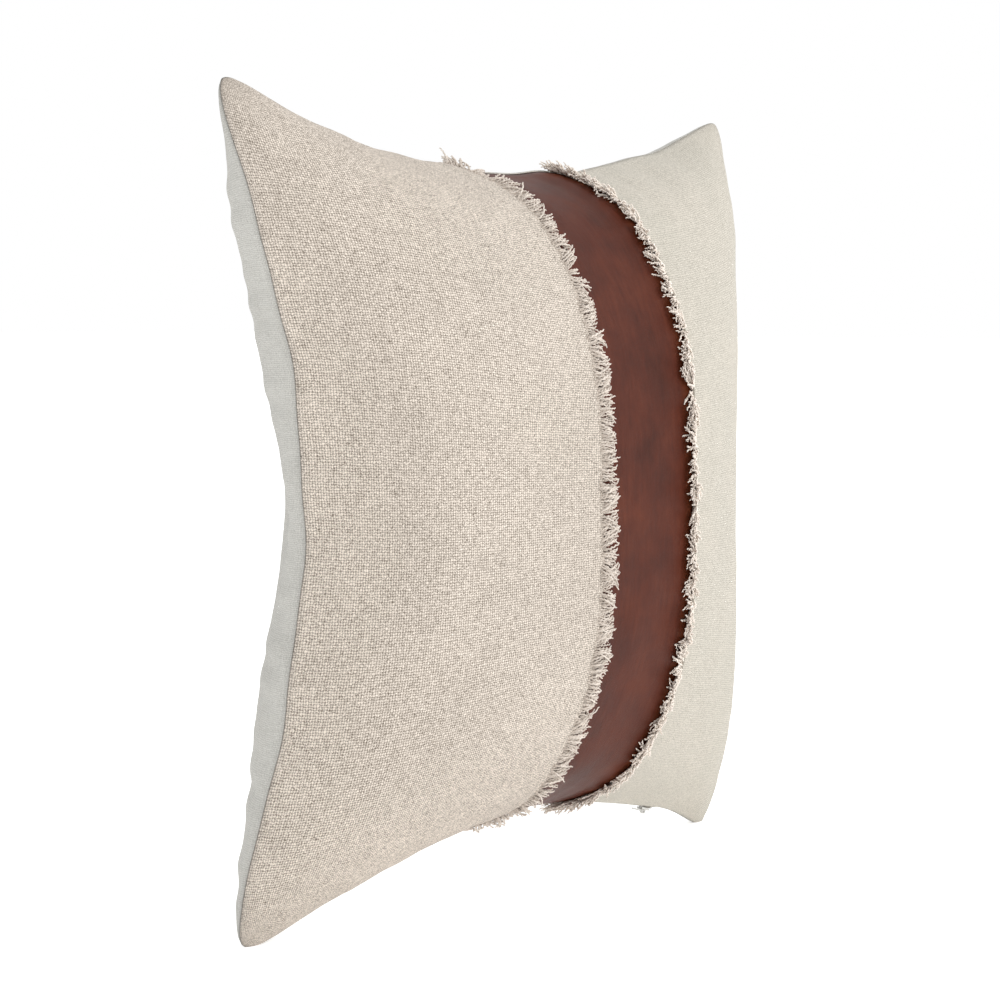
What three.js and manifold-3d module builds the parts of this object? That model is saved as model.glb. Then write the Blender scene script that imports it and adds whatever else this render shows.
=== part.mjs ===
// A square throw pillow that stands on its two bottom corners, in millimetres, +Z up, front facing -Y.
// The cover is two woven front panels with frayed inner edges, sewn over a leather band, and one back
// panel. A coil zipper closes the bottom seam. Inside is an insert: two shells around one fill.
import * as THREE from 'three';
import { mergeVertices } from 'three/addons/utils/BufferGeometryUtils.js';
import Module from 'manifold-3d';

const wasm = await Module();
wasm.setup();

// ---- Driving dimensions -------------------------------------------------------------------------
// The front and back each have a crown: its height above the seam plane, how flat it is in the middle
// (2 is a plain arch, more is flatter), and how round it meets the seam (0.5 is round, 1 is sharp).
const HALF_SIDE = 249.7;        // centre to seam line, measured at the corner tips
const PULL_X = 0.238;           // share of the half side by which the left and right seams bow in
const PULL_Z = 0.179;           // the same for the top and bottom seams
const PULL_POWER = 1.45;        // how fast the bow fades towards the corners
const FRONT = { crown: 117, flatness: 2.8, roundness: 0.594 };
const BACK = { crown: 84, flatness: 2.6, roundness: 0.51 };
const CORNER_SWEEP = 4.5;       // how far the corner tips lean back
const CORNER_TWIST = -4.7;      // added at two opposite corners, and taken away at the other two
const SWEEP_POWER = 6;
const TWIST_POWER = 5;
const REST_FLAT = 0.97;         // the cloth is flat above this share of its crown, where it lies

const CLOTH = 1.2;              // thickness of the woven panels
const LEATHER_DEPTH = 1.5;      // the leather's face below the panels' face
const LEATHER = 1.2;
const SEAM_HALF_GAP = 0.6;      // front and back edges stand this far from the seam plane
const THREAD_R = 0.3;
const STITCH_END = 0.15;        // topstitching stops this share of the last cell short of the seam

const BAND_HALF = 0.196;        // panel edge over the band, as a share of the half side
const STITCH_LINE = 0.21;       // topstitching on the panel, just outside its frayed edge
const BAND_UNDER = 0.238;       // how far the leather runs on under the panels

const FRINGE_LONG = 14.5;
const FRINGE_SHORT = 10;
const FRINGE_TEETH = 48;
const FRINGE_LIFT = THREE.MathUtils.degToRad(24);
const FRINGE_TIP = 0.6;         // thickness at the yarn ends
const FRINGE_GAP = 0.35;        // between the panel edge and the loose yarns

const INSERT_INSET = 14;        // seam of the insert inside the seam of the cover
const INSERT_SINK = 5;          // its crown below the cover's crown
const INSERT_SHELL = 0.9;
const FILL_INSET = 20;
const FILL_SINK = 6.6;

const ZIP_HALF = 165;           // half the chain's length along X
const ZIP_SLOT = 2.6;           // half width of the mouth in the bottom seam
const COIL = { near: 0.65, far: 2.05, top: 1.7, low: 3.3 };
const TAPE = { near: 0.65, far: 10, top: 3.7, slope: 0.36, thick: 0.5 };
const PLATE = { outer: 2.2, inner: 3.0, top: -0.2, low: 1.3, deep: 5.4, deepLow: 6.2, post: 0.33 };
const SLIDER_LENGTH = 9;
const BRIDGE = { half: 2.3, tunnel: 1.4, height: 2.7, room: 1.7, width: 0.75 };
const TAB = { near: 1.1, far: 2.0, length: 13, thick: 0.8, bar: 0.4, axis: 0.85 };
const STOP = { length: 2.2, gap: 0.4 };

const CELLS = 16;               // cells across the cover's panels, finer towards the seams
const INSERT_CELLS = 12;
const ZIP_STEPS = 24;

// ---- The crowned shape --------------------------------------------------------------------------
const bow = (w) => Math.max(0, 1 - w * w) ** PULL_POWER;
const fade = (w, power) => Math.max(0, 1 - Math.abs(w) ** power);

// The cloth's own upright lines stay straight up the middle and follow the bowed seams at the sides.
function straightened(w, v) {
  const share = Math.min(1, (1 - Math.abs(w)) / (1 - BAND_UNDER));
  return w / (1 - PULL_X * bow(v) * share);
}

// A point on a layer of the pillow. w and v run from -1 to 1 across the flat cloth, side is -1 on the
// front and 1 on the back; inset and sink put the layer inside the outer face.
function crown(w, v, side, inset, sink) {
  const u = straightened(w, v);
  const half = HALF_SIDE - inset;
  const x = half * u * (1 - PULL_X * bow(v));
  const z = half * v * (1 - PULL_Z * bow(u));
  const { crown: full, flatness, roundness } = side < 0 ? FRONT : BACK;
  const rise = (fade(u, flatness) * fade(v, flatness)) ** roundness;
  const kept = Math.min(rise, REST_FLAT);
  const tip = (x * z) / (HALF_SIDE * HALF_SIDE);
  const lean = CORNER_SWEEP * tip ** SWEEP_POWER + CORNER_TWIST * tip ** TWIST_POWER;
  return new THREE.Vector3(x, side * (SEAM_HALF_GAP + (full - sink) * kept) + lean, z);
}

// Grid lines from -1 to 1, crowded towards the seams where the cloth turns fastest.
function gridLines(cells, low = -1, high = 1, extra = []) {
  const lines = [];
  for (let i = 0; i <= cells; i += 1) {
    lines.push(Math.sin((Math.PI / 2) * ((2 * i) / cells - 1)));
  }
  const kept = lines.filter((w) => w > low + 0.03 && w < high - 0.03);
  return [low, ...kept, high, ...extra].sort((a, b) => a - b);
}

// ---- Closed bodies from points ------------------------------------------------------------------
function solidFrom(points, triangles) {
  let volume = 0;
  for (const [a, b, c] of triangles) {
    volume += points[a].dot(new THREE.Vector3().crossVectors(points[b], points[c]));
  }
  const faces = volume < 0 ? triangles.map(([a, b, c]) => [a, c, b]) : triangles;
  const geometry = new THREE.BufferGeometry();
  geometry.setAttribute('position', new THREE.Float32BufferAttribute(points.flatMap((p) => p.toArray()), 3));
  geometry.setIndex(faces.flat());
  return geometry;
}

// A sheet with two faces: each is a grid of rows, and the wall joins their four edges.
function sheet(outer, inner) {
  const rows = outer.length;
  const cols = outer[0].length;
  const points = [...outer.flat(), ...inner.flat()];
  const at = (layer, i, j) => layer * rows * cols + i * cols + j;
  const triangles = [];
  for (let i = 0; i < rows - 1; i += 1) {
    for (let j = 0; j < cols - 1; j += 1) {
      triangles.push([at(0, i, j), at(0, i, j + 1), at(0, i + 1, j + 1)]);
      triangles.push([at(0, i, j), at(0, i + 1, j + 1), at(0, i + 1, j)]);
      triangles.push([at(1, i, j), at(1, i + 1, j + 1), at(1, i, j + 1)]);
      triangles.push([at(1, i, j), at(1, i + 1, j), at(1, i + 1, j + 1)]);
    }
  }
  const rim = [];
  for (let j = 0; j < cols - 1; j += 1) rim.push([0, j]);
  for (let i = 0; i < rows - 1; i += 1) rim.push([i, cols - 1]);
  for (let j = cols - 1; j > 0; j -= 1) rim.push([rows - 1, j]);
  for (let i = rows - 1; i > 0; i -= 1) rim.push([i, 0]);
  rim.forEach(([i, j], k) => {
    const [m, n] = rim[(k + 1) % rim.length];
    triangles.push([at(0, i, j), at(1, m, n), at(0, m, n)]);
    triangles.push([at(0, i, j), at(1, i, j), at(1, m, n)]);
  });
  return solidFrom(points, triangles);
}

// A bar skinned over a row of equal convex rings, with flat ends.
function loft(rings) {
  const size = rings[0].length;
  const points = rings.flat();
  const triangles = [];
  for (let k = 0; k < rings.length - 1; k += 1) {
    for (let i = 0; i < size; i += 1) {
      const a = k * size + i;
      const b = k * size + ((i + 1) % size);
      triangles.push([a, b, b + size], [a, b + size, a + size]);
    }
  }
  const last = (rings.length - 1) * size;
  for (let i = 1; i < size - 1; i += 1) {
    triangles.push([0, i + 1, i], [last, last + i, last + i + 1]);
  }
  return solidFrom(points, triangles);
}

// Rings of a round thread along a path; the frame's side vector stays close to the given one.
function threadRings(path, radius, side, sides = 6) {
  return path.map((p, k) => {
    const before = path[Math.max(0, k - 1)];
    const after = path[Math.min(path.length - 1, k + 1)];
    const along = new THREE.Vector3().subVectors(after, before).normalize();
    const across = new THREE.Vector3().crossVectors(along, side).normalize();
    const up = new THREE.Vector3().crossVectors(across, along);
    const ring = [];
    for (let i = 0; i < sides; i += 1) {
      const turn = (2 * Math.PI * i) / sides;
      ring.push(p.clone().addScaledVector(across, radius * Math.cos(turn))
        .addScaledVector(up, radius * Math.sin(turn)));
    }
    return ring;
  });
}

function toManifold(geometry) {
  const bare = geometry.clone();
  bare.deleteAttribute('normal');
  bare.deleteAttribute('uv');
  const merged = mergeVertices(bare);
  return new wasm.Manifold(new wasm.Mesh({
    numProp: 3,
    vertProperties: new Float32Array(merged.attributes.position.array),
    triVerts: new Uint32Array(merged.index.array),
  }));
}

function fromManifold(solid) {
  const mesh = solid.getMesh();
  const geometry = new THREE.BufferGeometry();
  geometry.setAttribute('position', new THREE.Float32BufferAttribute(mesh.vertProperties, 3));
  geometry.setIndex(Array.from(mesh.triVerts));
  return geometry;
}

const cut = (geometry, tool) => fromManifold(toManifold(geometry).subtract(toManifold(tool)));
const join = (geometry, ...more) => fromManifold(
  more.reduce((solid, extra) => solid.add(toManifold(extra)), toManifold(geometry)),
);

// ---- Cover --------------------------------------------------------------------------------------
function layerGrid(us, vs, side, inset, sink) {
  return us.map((u) => vs.map((v) => crown(u, v, side, inset, sink)));
}

function clothPatch(us, vs, side, depth, thickness) {
  return sheet(
    layerGrid(us, vs, side, depth, depth),
    layerGrid(us, vs, side, depth + thickness, depth + thickness),
  );
}

const rowLines = gridLines(CELLS);
const rightLines = gridLines(CELLS, BAND_HALF, 1, [STITCH_LINE, BAND_UNDER]);
const bandLines = [
  -BAND_UNDER, -STITCH_LINE, -BAND_HALF, -BAND_HALF / 2, 0, BAND_HALF / 2, BAND_HALF, STITCH_LINE, BAND_UNDER,
];
const mirrored = (lines) => lines.map((w) => -w).reverse();

// Loose yarns past a panel's raw edge: a comb of long and short tufts that lifts off the leather.
function fringe(hand) {
  const rings = [];
  for (let k = 0; k < rowLines.length - 1; k += 1) {
    const steps = Math.max(1, Math.round((FRINGE_TEETH * (rowLines[k + 1] - rowLines[k])) / 2) * 2);
    const first = k === 0 ? 0 : 1;
    for (let s = first; s <= steps; s += 1) rings.push(fringeRing(hand, k, s / steps, s % 2));
  }
  return loft(rings);
}

function fringeRing(hand, k, share, long) {
  const edge = (u, depth) => new THREE.Vector3().lerpVectors(
    crown(u, rowLines[k], -1, depth, depth),
    crown(u, rowLines[k + 1], -1, depth, depth),
    share,
  );
  const root = edge(hand * BAND_HALF, 0);
  const under = edge(hand * BAND_HALF, CLOTH);
  const inward = new THREE.Vector3().subVectors(edge(hand * BAND_HALF * 0.9, 0), root).normalize();
  const out = new THREE.Vector3(0, -1, 0);
  const reach = long ? FRINGE_LONG : FRINGE_SHORT;
  const tip = root.clone().addScaledVector(inward, reach * Math.cos(FRINGE_LIFT))
    .addScaledVector(out, reach * Math.sin(FRINGE_LIFT));
  root.addScaledVector(inward, FRINGE_GAP);
  under.addScaledVector(inward, FRINGE_GAP);
  return [under, root, tip, tip.clone().addScaledVector(out, -FRINGE_TIP)];
}

// Topstitching that holds a panel to the leather, lying on the panel.
function topstitch(hand) {
  const lift = -(THREAD_R + 0.35);
  const path = rowLines.map((v) => crown(hand * STITCH_LINE, v, -1, lift, lift));
  const last = path.length - 1;
  path[0].lerp(path[1], STITCH_END);
  path[last].lerp(path[last - 1], STITCH_END);
  return loft(threadRings(path, THREAD_R, new THREE.Vector3(0, -1, 0)));
}

// Thread between front and back edges: from one end of the zipper, round three sides, to the other end.
function coverSeam() {
  const start = (ZIP_HALF + 12) / HALF_SIDE;
  const bottomRight = [start, ...rowLines.filter((w) => w > start + 0.02)];
  const route = [
    ...bottomRight.map((u) => [u, -1]),
    ...rowLines.slice(1).map((v) => [1, v]),
    ...rowLines.slice(1).map((w) => [-w, 1]),
    ...rowLines.slice(1).map((w) => [-1, -w]),
    ...mirrored(bottomRight).slice(1).map((u) => [u, -1]),
  ];
  return seamThread(route, CLOTH * 0.8);
}

// A thread lying in the gap between a front and a back edge, at a depth inside the outline.
function seamThread(route, inset) {
  const path = route.map(([u, v]) => {
    const p = crown(u, v, 1, inset, 0);
    p.y -= SEAM_HALF_GAP;
    return p;
  });
  return loft(threadRings(path, THREAD_R, new THREE.Vector3(0, 1, 0)));
}

// ---- Zipper, on an arc that follows the bottom seam ---------------------------------------------
const seamMiddle = crown(0, -1, 1, 0, 0).z;
const seamEnd = crown(ZIP_HALF / HALF_SIDE, -1, 1, 0, 0);
const seamDrop = seamMiddle - seamEnd.z;
const arcRadius = (seamEnd.x ** 2 + seamDrop ** 2) / (2 * seamDrop);
const arcCentre = new THREE.Vector3(0, 0, seamMiddle - arcRadius);
const chainTurn = Math.asin(ZIP_HALF / arcRadius);

// A bar with one section along the zipper's arc. The section's points are [y, depth inside the seam].
function alongSeam(section, from, to, steps) {
  const rings = [];
  for (let i = 0; i <= steps; i += 1) {
    const turn = from + ((to - from) * i) / steps;
    rings.push(section.map(([y, depth]) => new THREE.Vector3(
      arcCentre.x + (arcRadius + depth) * Math.sin(turn),
      y,
      arcCentre.z + (arcRadius + depth) * Math.cos(turn),
    )));
  }
  return loft(rings);
}

const box = (near, far, top, low) => [[near, top], [far, top], [far, low], [near, low]];
const onSide = (section, side) => section.map(([y, depth]) => [side * y, depth]);
const turnOf = (length) => length / arcRadius;

function coil(side) {
  const bevel = 0.35;
  const section = [
    [COIL.near, COIL.top + bevel], [COIL.near + bevel, COIL.top],
    [COIL.far - bevel, COIL.top], [COIL.far, COIL.top + bevel],
    [COIL.far, COIL.low - bevel], [COIL.far - bevel, COIL.low],
    [COIL.near + bevel, COIL.low], [COIL.near, COIL.low - bevel],
  ];
  return alongSeam(onSide(section, side), -chainTurn, chainTurn, ZIP_STEPS);
}

function tape(side) {
  const farTop = TAPE.top + TAPE.slope * (TAPE.far - TAPE.near);
  const section = [
    [TAPE.near, TAPE.top], [TAPE.far, farTop],
    [TAPE.far, farTop + TAPE.thick], [TAPE.near, TAPE.top + TAPE.thick],
  ];
  const over = turnOf(STOP.gap + STOP.length + 1);
  return alongSeam(onSide(section, side), -chainTurn - over, chainTurn + over, ZIP_STEPS);
}

// Crimped stops: one on each coil at the closed end, and one across both at the other end.
function topStop(side) {
  const from = chainTurn + turnOf(STOP.gap);
  return alongSeam(onSide(box(COIL.near, COIL.far, COIL.top, COIL.low), side), from, from + turnOf(STOP.length), 1);
}

function bottomStop() {
  const from = -chainTurn - turnOf(STOP.gap);
  return alongSeam(box(-COIL.far, COIL.far, COIL.top, COIL.low), from - turnOf(STOP.length), from, 1);
}

// The mouth that the zipper closes: a slot along the bottom seam, cut out of both sides' edges.
function mouth() {
  const reach = chainTurn + turnOf(STOP.gap + STOP.length + 3);
  return alongSeam(box(-ZIP_SLOT, ZIP_SLOT, -5, 6), -reach, reach, ZIP_STEPS);
}

// The slider stands at the closed end. Its own frame has X along the chain and Z into the pillow.
const sliderTurn = chainTurn - turnOf(SLIDER_LENGTH / 2 + 0.5);

function placeOnChain(mesh) {
  mesh.rotation.y = sliderTurn;
  mesh.position.set(
    arcCentre.x + arcRadius * Math.sin(sliderTurn),
    0,
    arcCentre.z + arcRadius * Math.cos(sliderTurn),
  );
  return mesh;
}

function extruded(outline, depth, hole) {
  const shape = new THREE.Shape(outline.map(([x, y]) => new THREE.Vector2(x, y)));
  if (hole) shape.holes.push(new THREE.Path(hole.map(([x, y]) => new THREE.Vector2(x, y))));
  const geometry = new THREE.ExtrudeGeometry(shape, { depth, bevelEnabled: false });
  geometry.translate(0, 0, -depth / 2);
  return geometry;
}

// Two plates joined by a thin post that runs between the coils, and a bridge that holds the pull tab.
function slider() {
  const { outer, inner, top, low, deep, deepLow, post } = PLATE;
  const section = [
    [-outer, top], [outer, top], [outer, low], [post, low], [post, deep], [inner, deep],
    [inner, deepLow], [-inner, deepLow], [-inner, deep], [-post, deep], [-post, low], [-outer, low],
  ];
  const body = extruded(section, SLIDER_LENGTH);
  body.rotateX(Math.PI / 2).rotateZ(Math.PI / 2);
  const { half, tunnel, height, room, width } = BRIDGE;
  const sunk = top + 0.3;
  const arch = extruded([
    [-half, sunk], [-half, top - height * 0.6], [-half * 0.5, top - height], [half * 0.5, top - height],
    [half, top - height * 0.6], [half, sunk], [tunnel, sunk], [tunnel, top - room * 0.8],
    [tunnel * 0.6, top - room], [-tunnel * 0.6, top - room], [-tunnel, top - room * 0.8], [-tunnel, sunk],
  ], 2 * width);
  arch.rotateX(Math.PI / 2);
  return join(body, arch);
}

// The pull tab lies over the closed chain; its end bar turns in the bridge.
function pullTab() {
  const { near, far, length, thick, bar } = TAB;
  const taper = far * 0.75;
  const plate = extruded(
    [[bar, -far], [bar, far], [-length + 2, taper], [-length, taper * 0.5], [-length, -taper * 0.5], [-length + 2, -taper]],
    thick,
    [[-bar, -near], [-BRIDGE.half - 0.5, -near], [-BRIDGE.half - 0.5, near], [-bar, near]],
  );
  plate.translate(0, 0, PLATE.top - TAB.axis);
  return plate;
}

// ---- Insert -------------------------------------------------------------------------------------
const insertLines = gridLines(INSERT_CELLS);

function insertShell(side) {
  return sheet(
    layerGrid(insertLines, insertLines, side, INSERT_INSET, INSERT_SINK),
    layerGrid(insertLines, insertLines, side, INSERT_INSET + INSERT_SHELL, INSERT_SINK + INSERT_SHELL),
  );
}

function insertFill() {
  return sheet(
    layerGrid(insertLines, insertLines, -1, FILL_INSET, FILL_SINK),
    layerGrid(insertLines, insertLines, 1, FILL_INSET, FILL_SINK),
  );
}

function insertSeam() {
  const route = [
    ...insertLines.map((w) => [w, -1]),
    ...insertLines.slice(1).map((w) => [1, w]),
    ...insertLines.slice(1).map((w) => [-w, 1]),
    ...insertLines.slice(1, -1).map((w) => [-1, -w]),
  ];
  return seamThread(route, INSERT_INSET + INSERT_SHELL * 0.7);
}

// A small blank tag that lies on a layer, over one cell of that layer's grid.
function tag(lines, column, row, side, inset, sink) {
  const us = [lines[column], lines[column + 1]];
  const vs = [lines[row], lines[row + 1]];
  return sheet(
    layerGrid(us, vs, side, inset, sink),
    layerGrid(us, vs, side, inset + 0.4, sink + 0.4),
  );
}

// ---- Assembly -----------------------------------------------------------------------------------
const material = (color, roughness, metalness = 0) => new THREE.MeshStandardMaterial({ color, roughness, metalness });
const canvas = material(0xd6cbb6, 0.95);
const backCloth = material(0xcfcdc4, 0.95);
const leather = material(0x7c4d2e, 0.45);
const thread = material(0xb9ab90, 0.9);
const ticking = material(0xf2f1ee, 0.95);
const fibre = material(0xfafafa, 1);
const satin = material(0xf4f2ec, 0.5);
const nylon = material(0xc9c0ad, 0.5);
const metal = material(0x9b9a96, 0.35, 1);

const pillow = new THREE.Group();

function add(name, geometry, look) {
  geometry.computeVertexNormals();
  const mesh = new THREE.Mesh(geometry, look.clone());
  mesh.name = name;
  pillow.add(mesh);
  return mesh;
}

const slot = mouth();
add('front_left_panel', cut(clothPatch(mirrored(rightLines), rowLines, -1, 0, CLOTH), slot), canvas);
add('front_right_panel', cut(clothPatch(rightLines, rowLines, -1, 0, CLOTH), slot), canvas);
add('leather_band', cut(clothPatch(bandLines, rowLines, -1, LEATHER_DEPTH, LEATHER), slot), leather);
add('back_panel', cut(clothPatch(rowLines, rowLines, 1, 0, CLOTH), slot), backCloth);
add('left_fringe', cut(fringe(-1), slot), canvas);
add('right_fringe', cut(fringe(1), slot), canvas);
add('topstitch_left', topstitch(-1), thread);
add('topstitch_right', topstitch(1), thread);
add('cover_seam_thread', coverSeam(), thread);
add('care_label', tag(rowLines, 2, 6, 1, 2, 2), satin);

add('zip_tape_front', tape(-1), nylon);
add('zip_tape_back', tape(1), nylon);
add('zip_coil_front', coil(-1), nylon);
add('zip_coil_back', coil(1), nylon);
add('zip_top_stop_front', topStop(-1), metal);
add('zip_top_stop_back', topStop(1), metal);
add('zip_bottom_stop', bottomStop(), metal);
placeOnChain(add('zip_slider', slider(), metal));
placeOnChain(add('zip_pull_tab', pullTab(), metal));

add('insert_shell_front', insertShell(-1), ticking);
add('insert_shell_back', insertShell(1), ticking);
add('insert_seam_thread', insertSeam(), thread);
add('insert_tag', tag(insertLines, 8, 8, 1, INSERT_INSET - 1, INSERT_SINK - 1), satin);
add('insert_fill', insertFill(), fibre);

// The pillow stands on the origin, under the middle of its own box.
pillow.updateMatrixWorld(true);
const bounds = new THREE.Box3().setFromObject(pillow, true);
const centre = bounds.getCenter(new THREE.Vector3());
pillow.position.set(-centre.x, -centre.y, -bounds.min.z);

export default pillow;
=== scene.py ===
"""Looks for the throw pillow: two woven front panels with frayed inner edges over a leather band, a
plain back, a zipper in the bottom seam, and an insert. Lengths are in millimetres until a mesh is made.
"""
import math

import bpy
import numpy as np
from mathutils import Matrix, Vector


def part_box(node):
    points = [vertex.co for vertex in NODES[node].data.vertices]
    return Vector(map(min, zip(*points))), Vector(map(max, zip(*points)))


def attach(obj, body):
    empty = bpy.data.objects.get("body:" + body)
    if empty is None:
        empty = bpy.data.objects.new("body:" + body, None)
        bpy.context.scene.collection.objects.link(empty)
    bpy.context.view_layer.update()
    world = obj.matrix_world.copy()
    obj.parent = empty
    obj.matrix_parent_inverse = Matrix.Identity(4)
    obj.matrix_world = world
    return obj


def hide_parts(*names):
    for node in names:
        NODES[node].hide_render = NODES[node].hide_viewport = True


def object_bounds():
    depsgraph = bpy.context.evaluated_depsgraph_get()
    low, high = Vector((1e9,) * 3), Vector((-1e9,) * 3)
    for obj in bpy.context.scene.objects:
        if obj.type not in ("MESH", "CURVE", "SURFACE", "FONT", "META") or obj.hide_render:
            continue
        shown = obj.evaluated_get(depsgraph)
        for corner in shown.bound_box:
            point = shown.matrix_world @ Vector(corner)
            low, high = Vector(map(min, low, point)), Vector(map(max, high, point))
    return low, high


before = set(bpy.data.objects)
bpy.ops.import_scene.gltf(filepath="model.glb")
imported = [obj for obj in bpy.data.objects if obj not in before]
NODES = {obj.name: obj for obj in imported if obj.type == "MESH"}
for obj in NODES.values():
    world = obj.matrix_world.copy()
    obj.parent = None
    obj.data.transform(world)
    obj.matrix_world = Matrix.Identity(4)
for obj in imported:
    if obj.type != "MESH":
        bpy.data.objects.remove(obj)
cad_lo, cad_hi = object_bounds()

MM = 0.001

# ---- Camera -------------------------------------------------------------------------------------
AZIMUTH, ELEVATION = math.radians(-51.98), math.radians(4.28)
DISTANCE = 1.761
LENS = 98.2
HALF = (cad_hi.z - cad_lo.z) / 2 / MM
CENTRE_Z = (cad_hi.z + cad_lo.z) / 2 / MM
SEAM_Y = (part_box("zip_coil_front")[0].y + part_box("zip_coil_back")[1].y) / 2 / MM
TARGET = Vector((-1.8, SEAM_Y, CENTRE_Z - 2.6)) * MM

back = Vector((
    math.sin(AZIMUTH) * math.cos(ELEVATION),
    -math.cos(AZIMUTH) * math.cos(ELEVATION),
    math.sin(ELEVATION),
))
camera_data = bpy.data.cameras.new("camera")
camera_data.lens = LENS
camera_data.sensor_width = 36
camera_data.clip_start = 0.02
camera_data.clip_end = 200
camera_data.dof.use_dof = False
camera = bpy.data.objects.new("camera", camera_data)
bpy.context.scene.collection.objects.link(camera)
camera.location = TARGET + back * DISTANCE
camera.rotation_euler = (math.pi / 2 - ELEVATION, 0, AZIMUTH)
bpy.context.scene.camera = camera

# ---- The shape, as in the CAD source --------------------------------------------------------------
PULL_X, PULL_Z, PULL_POWER = 0.238, 0.179, 1.45
FRONT, BACK = (117, 2.8, 0.594), (84, 2.6, 0.51)
SWEEP, TWIST = 4.5, -4.7
CLOTH = 1.2
LEATHER_DEPTH, LEATHER = 1.5, 1.2
BAND_EDGE, STITCH_LINE, BAND_UNDER = 0.196, 0.21, 0.238
ZIP_REACH = 172.0           # half length of the mouth in the bottom seam
MOUTH = 2.6                 # half width of that mouth
LIP = 0.8                   # how far its edges stand below the zipper
SEAM_GAP = 0.3
INSERT_INSET, INSERT_SINK, INSERT_SHELL = 14, 5, 0.9
FILL_INSET, FILL_SINK = 20, 6.6
TIP_POWER = 22              # the higher, the smaller the rounding of the corner tips
TIP_REACH = 40              # the higher, the nearer to its tip a corner is drawn out
TOP_MIDDLE = 3.0            # the leather holds the top seam up at its middle
EDGE_CURL = {-1: 0.3, 1: 3.0}   # how far the left and right raw edges lift off the leather
# Each corner's own pinch and reach, by the signs of w and v: how far the seams beside it are drawn
# in, and how far its tip is drawn out along x and z, in millimetres.
CORNERS = {
    (-1, 1): (12.5, 6.5, 11.0),
    (1, 1): (7.0, 6.0, 7.5),
    (1, -1): (10.0, 6.0, 9.0),
    (-1, -1): (0.0, 5.0, 6.5),
}


def bow(w):
    return np.maximum(0, 1 - w * w) ** PULL_POWER


def fade(w, power):
    return np.maximum(0, 1 - np.abs(w) ** power)


def crown(w, v, side, inset=0.0, sink=0.0):
    """Points of a layer, from flat cloth coordinates w and v in -1..1. side is -1 for the front."""
    share = np.minimum(1, (1 - np.abs(w)) / (1 - BAND_UNDER))
    u = w / (1 - PULL_X * bow(v) * share)
    half = HALF - inset
    big = np.maximum(np.maximum(np.abs(w), np.abs(v)), 1e-6)
    ratio = np.minimum(np.abs(w), np.abs(v)) / big
    rounded = 1 - (1 - (1 + ratio ** TIP_POWER) ** (-1 / TIP_POWER)) * big ** 10
    x = half * u * rounded * (1 - PULL_X * bow(v * rounded))
    z = half * v * rounded * (1 - PULL_Z * bow(u * rounded))
    both = np.abs(w * v)
    near_tip = (both * (2 - both)) ** TIP_REACH
    beside = both ** 2 * (1 - near_tip)
    for (a, b), (pinch, out_x, out_z) in CORNERS.items():
        share = (1 + a * w) * (1 + b * v) / 4
        x = x + a * share * near_tip * out_x
        z = z + b * share * (near_tip * out_z - beside * pinch)
    z = z + TOP_MIDDLE * np.maximum(v, 0) ** 4 * np.exp(-(w / 0.35) ** 2)
    full, flatness, roundness = FRONT if side < 0 else BACK
    rise = (fade(u, flatness) * fade(v, flatness)) ** roundness
    corner = x * z / HALF ** 2
    lean = SWEEP * corner ** 6 + TWIST * corner ** 5
    gap = SEAM_GAP + 0.0 * x
    if np.all(np.asarray(inset) < INSERT_INSET - 1):
        along = np.clip((ZIP_REACH + 5 - np.abs(x)) / 8, 0, 1)
        along = along * along * (3 - 2 * along)
        gap = gap + (MOUTH + 0.1 - SEAM_GAP) * along * np.exp(-((v + 1) / 0.03) ** 2)
        z = z - LIP * along * np.exp(-((v + 1) / 0.03) ** 2)
    y = side * (gap + (full - sink) * rise) + lean
    return np.stack([x, y, z], -1)


def waves(seed, count, shortest, longest, stretch=(1, 1)):
    """A smooth random function of two coordinates, about -1 to 1, made of plane waves."""
    rng = np.random.default_rng(seed)
    angle = rng.uniform(0, math.pi, count)
    length = rng.uniform(shortest, longest, count)
    phase = rng.uniform(0, 2 * math.pi, count)
    kx = 2 * math.pi * np.cos(angle) / length * stretch[0]
    ky = 2 * math.pi * np.sin(angle) / length * stretch[1]

    def value(a, b):
        total = 0.0 * a
        for x, y, p in zip(kx, ky, phase):
            total = total + np.sin(x * a + y * b + p)
        return total * math.sqrt(2 / count) * 0.7

    return value


def ripple(seed, count, shortest, longest):
    """A smooth random function of one coordinate."""
    rng = np.random.default_rng(seed)
    length = rng.uniform(shortest, longest, count)
    phase = rng.uniform(0, 2 * math.pi, count)

    def value(a):
        total = 0.0 * a
        for l, p in zip(length, phase):
            total = total + np.sin(2 * math.pi * a / l + p)
        return total * math.sqrt(2 / count) * 0.7

    return value


BROAD = {-1: waves(11, 9, 0.7, 1.6), 1: waves(12, 9, 0.6, 1.4)}
FINE = {-1: waves(13, 14, 0.10, 0.24), 1: waves(14, 14, 0.09, 0.2)}
PUCKER = {(s, k): ripple(20 + 4 * (s > 0) + k, 7, 0.07, 0.22) for s in (-1, 1) for k in range(4)}
WOBBLE = [ripple(40 + k, 5, 0.18, 0.5) for k in range(4)]


# Dents and bulges of the stuffed cover: centre w and v, width and height, and how far in or out.
DENTS = {
    -1: [(0.72, 0.05, 0.26, 0.55, 3.6), (0.9, 0.75, 0.15, 0.15, 3.0), (0.45, -0.6, 0.3, 0.2, 1.2)],
    1: [(-0.93, 0.76, 0.14, 0.16, 5.0), (-0.84, -0.02, 0.15, 0.18, -9.0),
        (-0.8, 0.45, 0.2, 0.22, 4.0), (-0.8, -0.5, 0.2, 0.2, 4.0),
        (0.8, 0.1, 0.2, 0.2, -3.0), (0.1, 0.85, 0.25, 0.12, -2.0)],
}


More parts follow.
